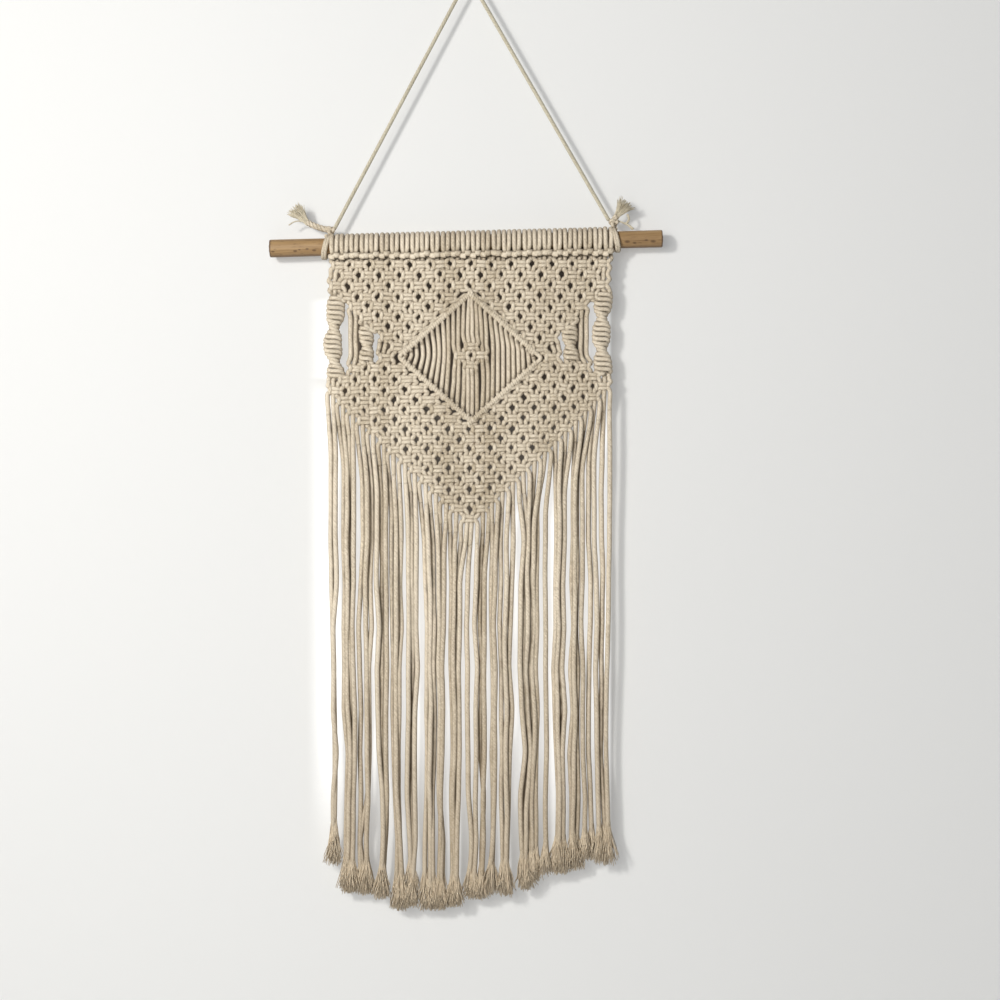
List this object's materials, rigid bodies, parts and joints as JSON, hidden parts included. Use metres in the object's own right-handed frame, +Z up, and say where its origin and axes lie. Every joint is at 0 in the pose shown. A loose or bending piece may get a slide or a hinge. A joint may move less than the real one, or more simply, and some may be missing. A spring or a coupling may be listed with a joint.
{
  "type": "macrame wall hanging on a wooden dowel",
  "caption": "Knotted cotton cord wall hanging with an open diamond, twisted side sinnets and a long V-shaped fringe, hung from a wooden dowel by a cord.",
  "frame": {"origin": "top of the bend of the hanging cord, where it passes over the nail that holds it", "axes": "+Z up, +X to the right along the dowel as seen from the front, +Y away from the viewer, towards the wall"},
  "size_m": [0.3053, 0.0212, 0.7172],
  "materials": {
    "cotton": "natural unbleached twisted cotton cord, matt and slightly fuzzy",
    "hanger_cotton": "thin natural cotton cord, matt",
    "wood": "bare hardwood dowel, satin, with fine dark flecks"
  },
  "bodies": {
    "root": {"dowel": "wood", "heading": "cotton", "upper_net": "cotton", "lower_net": "cotton", "diamond": "cotton", "sinnet_outer_left": "cotton", "sinnet_outer_right": "cotton", "sinnet_inner_left": "cotton", "sinnet_inner_right": "cotton", "plain_cord_left_1": "cotton", "plain_cord_left_2": "cotton", "plain_cord_left_3": "cotton", "plain_cord_left_4": "cotton", "plain_cord_right_1": "cotton", "plain_cord_right_2": "cotton", "plain_cord_right_3": "cotton", "plain_cord_right_4": "cotton", "fringe_left": "cotton", "fringe_right": "cotton", "hanger_cord": "hanger_cotton", "hanger_tie_left": "hanger_cotton", "hanger_tie_right": "hanger_cotton"}
  },
  "joints": []
}
